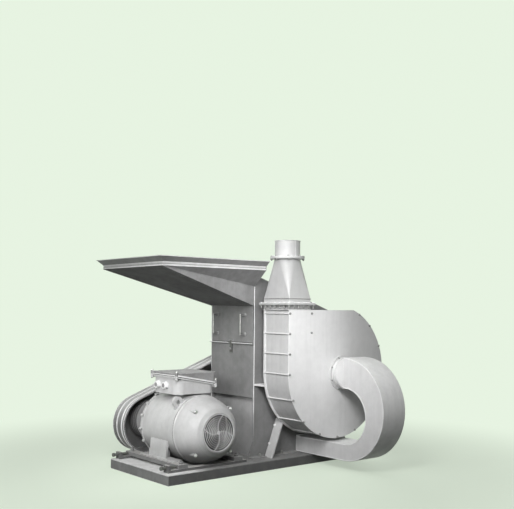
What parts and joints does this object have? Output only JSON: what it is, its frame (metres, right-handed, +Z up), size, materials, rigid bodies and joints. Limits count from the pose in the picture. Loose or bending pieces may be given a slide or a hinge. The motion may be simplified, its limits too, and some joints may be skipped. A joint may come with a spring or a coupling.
{
  "type": "hammer mill",
  "caption": "Belt-driven hammer mill on a channel base: sloped feed hopper, grinding housing with swinging hammers, electric motor on slide rails, suction elbow, fan casing and round outlet pipe",
  "frame": {"origin": "centre of the base's underside, at floor level", "axes": "+X along the base from the motor end to the fan end, +Y across the base towards the belt guard, +Z up"},
  "size_m": [1.877, 1.6284, 1.627],
  "materials": {
    "base_paint": "dark grey paint, dusty",
    "mill_paint": "mid grey hammered paint",
    "hopper_paint": "mid grey paint",
    "fan_paint": "light silver-grey paint",
    "motor_paint": "light grey machine paint",
    "bolt_steel": "plain steel",
    "bright_steel": "machined steel",
    "cast_iron": "cast iron, dull",
    "belt_rubber": "black rubber",
    "gland_plastic": "light grey plastic",
    "fan_plastic": "dark plastic"
  },
  "bodies": {
    "root": {"base_channels": "base_paint", "base_deck": "base_paint", "motor_rails": "base_paint", "drive_belts": "belt_rubber", "belt_guard": "mill_paint", "guard_stays": "mill_paint", "mill_near_plate": "mill_paint", "mill_far_plate": "mill_paint", "mill_roof": "mill_paint", "mill_back_panel": "mill_paint", "rotor_panel": "mill_paint", "toe_panel": "mill_paint", "chute_floor": "mill_paint", "breaker_plate": "cast_iron", "screen": "bright_steel", "screen_rails": "cast_iron", "collector_plates": "mill_paint", "mill_foot_nuts": "bolt_steel", "hopper_rim": "hopper_paint", "hopper_pan": "hopper_paint", "hopper_back_plate": "hopper_paint", "bearing_shelves": "mill_paint", "pillow_blocks": "cast_iron", "fan_back_plate": "fan_paint", "fan_front_plate": "fan_paint", "fan_scroll": "fan_paint", "fan_tie_rods": "fan_paint", "fan_legs": "fan_paint", "inlet_collar": "fan_paint", "outlet_neck": "fan_paint", "outlet_transition": "fan_paint", "outlet_pipe": "fan_paint", "elbow_cheeks": "fan_paint", "elbow_bands": "fan_paint"},
    "rotor": {"rotor_shaft": "bright_steel", "rotor_discs": "cast_iron", "hammer_pins": "bright_steel", "fan_impeller": "cast_iron", "mill_pulley": "cast_iron"},
    "hammer_row_1": {"hammers_1": "bright_steel"},
    "hammer_row_2": {"hammers_2": "bright_steel"},
    "hammer_row_3": {"hammers_3": "bright_steel"},
    "hammer_row_4": {"hammers_4": "bright_steel"},
    "motor": {"tension_screws": "bolt_steel", "motor_foot_bars": "motor_paint", "motor_frame": "motor_paint", "drive_end_shield": "motor_paint", "motor_cowl": "motor_paint", "motor_grille": "motor_paint", "terminal_box": "motor_paint", "terminal_lid": "motor_paint", "cable_glands": "gland_plastic", "lifting_eye": "motor_paint", "motor_bearings": "bright_steel"},
    "motor_rotor": {"motor_shaft": "bright_steel", "cooling_fan": "fan_plastic", "motor_pulley": "cast_iron"},
    "cover": {"inspection_cover": "mill_paint", "cover_handles": "bolt_steel"},
    "hasp": {"cover_hasp": "bolt_steel"}
  },
  "joints": [
    {"name": "rotor_spin", "type": "hinge", "parent": "root", "child": "rotor", "pos_m": [0.464, 0, 0.68], "axis": [0, 1, 0], "continuous": true},
    {"name": "hammer_swing_1", "type": "hinge", "parent": "rotor", "child": "hammer_row_1", "pos_m": [0.58421, 0, 0.80021], "axis": [0, 1, 0], "continuous": true},
    {"name": "hammer_swing_2", "type": "hinge", "parent": "rotor", "child": "hammer_row_2", "pos_m": [0.34379, 0, 0.80021], "axis": [0, 1, 0], "continuous": true},
    {"name": "hammer_swing_3", "type": "hinge", "parent": "rotor", "child": "hammer_row_3", "pos_m": [0.34379, 0, 0.55979], "axis": [0, 1, 0], "continuous": true},
    {"name": "hammer_swing_4", "type": "hinge", "parent": "rotor", "child": "hammer_row_4", "pos_m": [0.58421, 0, 0.55979], "axis": [0, 1, 0], "continuous": true},
    {"name": "motor_slide", "type": "slide", "parent": "root", "child": "motor", "axis": [1, 0, 0], "range_m": [-0.025, 0.025], "deforming": ["drive_belts"]},
    {"name": "motor_spin", "type": "hinge", "parent": "motor", "child": "motor_rotor", "pos_m": [-0.513, 0, 0.31], "axis": [0, 1, 0], "continuous": true},
    {"name": "cover_lift", "type": "slide", "parent": "root", "child": "cover", "axis": [-1, 0, 0], "range_m": [0, 0.3]},
    {"name": "hasp_swing", "type": "hinge", "parent": "cover", "child": "hasp", "pos_m": [-0.075, 0, 0.9043], "axis": [0, 1, 0], "range_deg": [0, 120]}
  ],
  "couplings": [
    {"joint": "motor_spin", "follows": "rotor_spin", "ratio": 0.52055}
  ]
}
